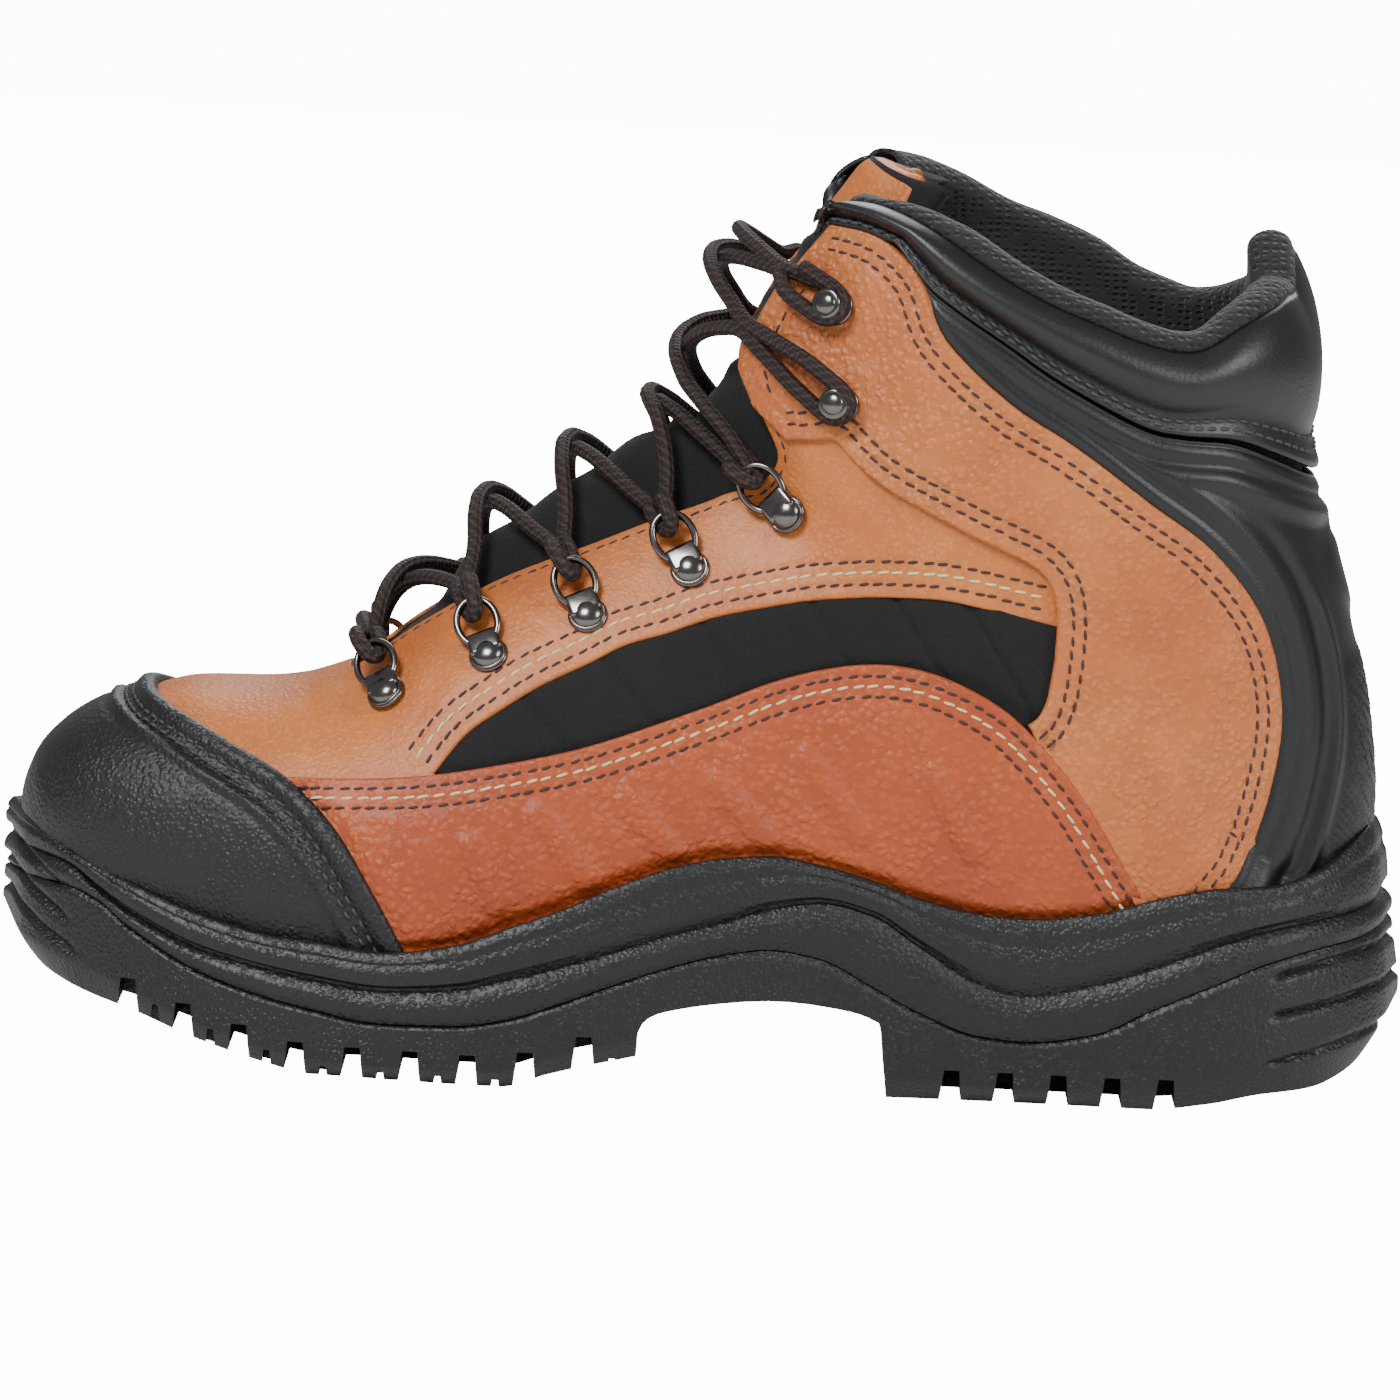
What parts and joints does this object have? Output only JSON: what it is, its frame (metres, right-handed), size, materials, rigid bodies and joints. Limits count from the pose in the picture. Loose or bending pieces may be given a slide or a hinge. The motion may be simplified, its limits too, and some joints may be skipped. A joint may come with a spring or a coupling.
{
  "type": "safety work boot",
  "caption": "Ankle-high laced safety work boot for the left foot, with a moulded toe cap, leather upper, padded collar and lugged rubber sole.",
  "frame": {"origin": "on the floor, under the middle of the boot's outline", "axes": "toe to -X, heel to +X, outer (lateral) side to -Y, up +Z"},
  "size_m": [0.3127, 0.1126, 0.2061],
  "materials": {
    "full_grain_leather": "pebbled full-grain leather, satin",
    "foxing_leather": "smooth oiled leather with embossed bars",
    "moulded_rubber": "moulded, fine leather texture",
    "sole_rubber": "moulded, fine pebble texture",
    "padded_leather": "smooth black leather, satin",
    "tongue_suede": "black nubuck, matt",
    "insole_cloth": "woven cloth, matt",
    "gunmetal": "dark nickel plating, polished",
    "lace_cord": "round braided cord"
  },
  "bodies": {
    "root": {"ankle_panel_lateral": "full_grain_leather", "ankle_panel_medial": "full_grain_leather", "collar": "padded_leather", "d_ring_lateral_1": "gunmetal", "d_ring_lateral_2": "gunmetal", "d_ring_lateral_3": "gunmetal", "d_ring_lateral_4": "gunmetal", "d_ring_lateral_5": "gunmetal", "d_ring_medial_1": "gunmetal", "d_ring_medial_2": "gunmetal", "d_ring_medial_3": "gunmetal", "d_ring_medial_4": "gunmetal", "d_ring_medial_5": "gunmetal", "foxing_lateral": "foxing_leather", "foxing_medial": "foxing_leather", "heel_counter": "moulded_rubber", "insole": "insole_cloth", "lace_bar_1": "lace_cord", "lace_bar_top": "lace_cord", "lace_cross_1": "lace_cord", "lace_cross_2": "lace_cord", "lace_cross_3": "lace_cord", "lace_cross_4": "lace_cord", "lace_cross_5": "lace_cord", "lace_cross_6": "lace_cord", "lace_hook_lateral_1": "gunmetal", "lace_hook_lateral_2": "gunmetal", "lace_hook_medial_1": "gunmetal", "lace_hook_medial_2": "gunmetal", "midsole": "sole_rubber", "outsole": "sole_rubber", "toe_cap": "moulded_rubber", "tongue": "tongue_suede", "upper": "full_grain_leather"}
  },
  "joints": []
}
